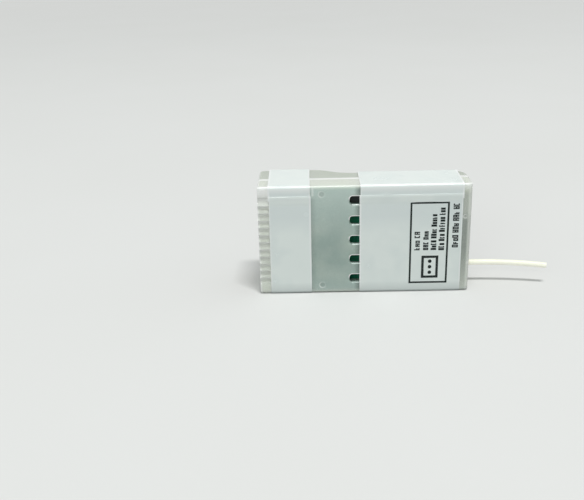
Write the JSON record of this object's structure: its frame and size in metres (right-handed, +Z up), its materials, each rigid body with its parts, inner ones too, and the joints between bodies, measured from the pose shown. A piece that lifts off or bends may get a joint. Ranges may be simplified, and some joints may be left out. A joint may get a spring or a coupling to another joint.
{
  "type": "rc receiver",
  "caption": "Small radio-control receiver in half shells with a wrap label, an end socket of servo pins, boards, a recessed link button and a short aerial stub.",
  "frame": {"origin": "on the underside of the label, below the middle of the case's length, in the plane of the middle row of pins", "axes": "+X towards the aerial end, -Y out of the broad front face, +Z up across the narrow sides, the receiver standing on one narrow side"},
  "size_m": [0.049, 0.0105, 0.019],
  "materials": {
    "case_plastic": "milky translucent moulded plastic",
    "label_film": "white satin film",
    "board": "green solder mask",
    "header_plastic": "natural moulded nylon",
    "pin_metal": "gold plated",
    "can_metal": "tinned sheet",
    "chip_plastic": "moulded epoxy",
    "ceramic": "fired ceramic",
    "lamp": "clear tinted resin",
    "aerial_sheath": "cream extruded sheath",
    "silvered_wire": "silver plated",
    "button_plastic": "black moulded plastic"
  },
  "bodies": {
    "housing": {"aerial_core": "silvered_wire", "aerial_filter": "chip_plastic", "aerial_jacket": "aerial_sheath", "aerial_joint": "silvered_wire", "chip_capacitor_1": "ceramic", "chip_capacitor_2": "ceramic", "chip_capacitor_3": "ceramic", "chip_capacitor_4": "ceramic", "choke": "chip_plastic", "crystal": "can_metal", "front_shell": "case_plastic", "header_block": "header_plastic", "header_board": "board", "main_board": "board", "microcontroller": "chip_plastic", "negative_pin_1": "pin_metal", "negative_pin_2": "pin_metal", "negative_pin_3": "pin_metal", "negative_pin_4": "pin_metal", "negative_pin_5": "pin_metal", "negative_pin_6": "pin_metal", "positive_pin_1": "pin_metal", "positive_pin_2": "pin_metal", "positive_pin_3": "pin_metal", "positive_pin_4": "pin_metal", "positive_pin_5": "pin_metal", "positive_pin_6": "pin_metal", "radio_chip": "chip_plastic", "rear_shell": "case_plastic", "screening_can": "can_metal", "signal_pin_1": "pin_metal", "signal_pin_2": "pin_metal", "signal_pin_3": "pin_metal", "signal_pin_4": "pin_metal", "signal_pin_5": "pin_metal", "signal_pin_6": "pin_metal", "signal_resistor_1": "ceramic", "signal_resistor_2": "ceramic", "signal_resistor_3": "ceramic", "signal_resistor_4": "ceramic", "signal_resistor_5": "ceramic", "signal_resistor_6": "ceramic", "status_lamp": "lamp", "supply_capacitor": "ceramic", "switch_body": "chip_plastic", "switch_cover": "can_metal", "switch_dome": "can_metal", "voltage_regulator": "chip_plastic", "wrap_label": "label_film"},
    "link_button": {"link_button": "button_plastic"}
  },
  "joints": [
    {"name": "link_button_press", "type": "slide", "parent": "housing", "child": "link_button", "axis": [0, -1, 0], "range_m": [0, 0.00025], "stiffness_N_per_m": 400, "springref_m": -0.0005}
  ]
}
